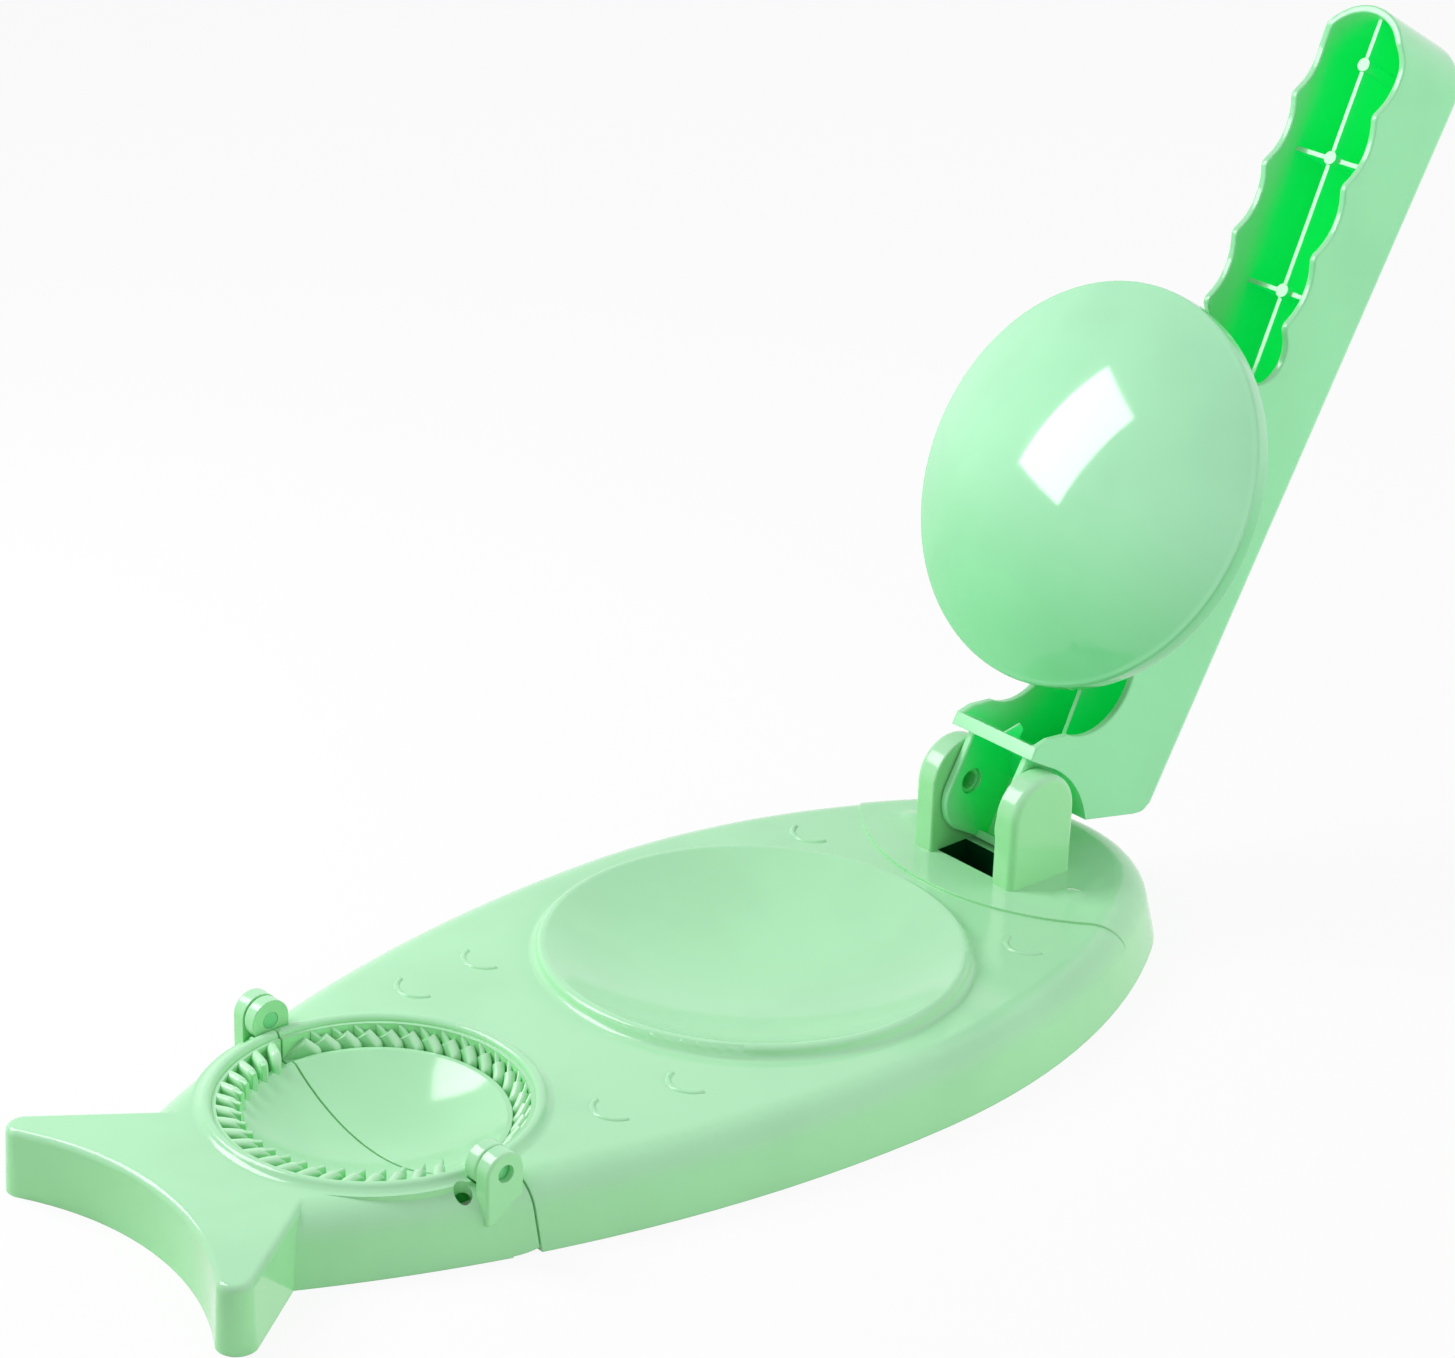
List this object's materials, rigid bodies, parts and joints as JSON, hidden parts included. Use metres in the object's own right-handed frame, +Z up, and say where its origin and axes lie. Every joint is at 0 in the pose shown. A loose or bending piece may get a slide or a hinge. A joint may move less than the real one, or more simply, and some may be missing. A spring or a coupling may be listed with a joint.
{
  "type": "dough press",
  "caption": "Fish-shaped two-in-one dough press: a long base with a shallow press bowl, a hinged lever with a domed press head, and a round crimping mould whose tail half folds over.",
  "frame": {"origin": "on the table under the centre of the press bowl, at the underside of the crossing ribs", "axes": "+X along the fish towards its head, +Y across to the far side, +Z up from the table"},
  "size_m": [0.4084, 0.1384, 0.217],
  "materials": {
    "body_plastic": "pale mint moulded plastic, satin gloss",
    "lever_plastic": "pale mint moulded plastic, satin gloss",
    "dome_plastic": "pale mint moulded plastic, polished face",
    "pin_plastic": "mint moulded plastic"
  },
  "bodies": {
    "base": {"base_body": "body_plastic", "mould_pin_near": "pin_plastic", "mould_pin_far": "pin_plastic"},
    "tail": {"tail_flap": "body_plastic"},
    "lever": {"lever_handle": "lever_plastic", "press_dome": "dome_plastic", "lever_pin_near": "pin_plastic", "lever_pin_far": "pin_plastic"}
  },
  "joints": [
    {"name": "lever_hinge", "type": "hinge", "parent": "base", "child": "lever", "pos_m": [0.0802, 0, 0.0347], "axis": [0, 1, 0], "range_deg": [-117, 0]},
    {"name": "tail_hinge", "type": "hinge", "parent": "base", "child": "tail", "pos_m": [-0.11355, 0, 0.01966], "axis": [0, 1, 0], "range_deg": [0, 180]}
  ]
}
